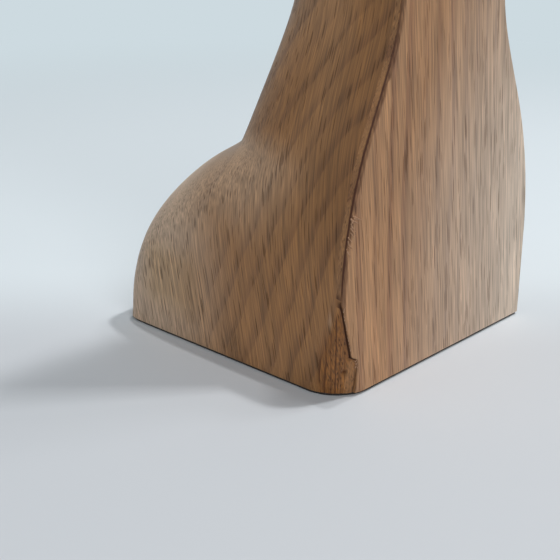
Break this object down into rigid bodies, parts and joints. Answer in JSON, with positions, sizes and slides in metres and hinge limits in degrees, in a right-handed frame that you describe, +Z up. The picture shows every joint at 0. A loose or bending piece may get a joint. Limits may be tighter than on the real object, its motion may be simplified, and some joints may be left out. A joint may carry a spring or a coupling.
{
  "type": "door wedge",
  "caption": "Carved oak door wedge with a humped heel, a tapering tongue, a thin glued sole board, a pinned ribbed grip strip and a thin butt pad.",
  "frame": {"origin": "middle of the footprint, on the underside of the butt pad", "axes": "+Z up from the butt to the toe; the flat sole faces -Y and the humped back faces +Y; the kicked corner is on the -X side"},
  "size_m": [0.058, 0.0588, 0.165],
  "materials": {
    "oak_core": "oiled oak, open pores, low sheen",
    "oak_facing": "oiled oak, planed flat, low sheen",
    "pad_rubber": "thin matt sheet rubber",
    "grip_rubber": "moulded matt rubber with cross ribs",
    "brass": "turned brass, slightly dulled"
  },
  "bodies": {
    "root": {"oak_core": "oak_core", "sole_facing": "oak_facing", "butt_pad": "pad_rubber", "grip_strip": "grip_rubber", "brass_pin_1": "brass", "brass_pin_2": "brass", "brass_pin_3": "brass", "brass_pin_4": "brass"}
  },
  "joints": []
}
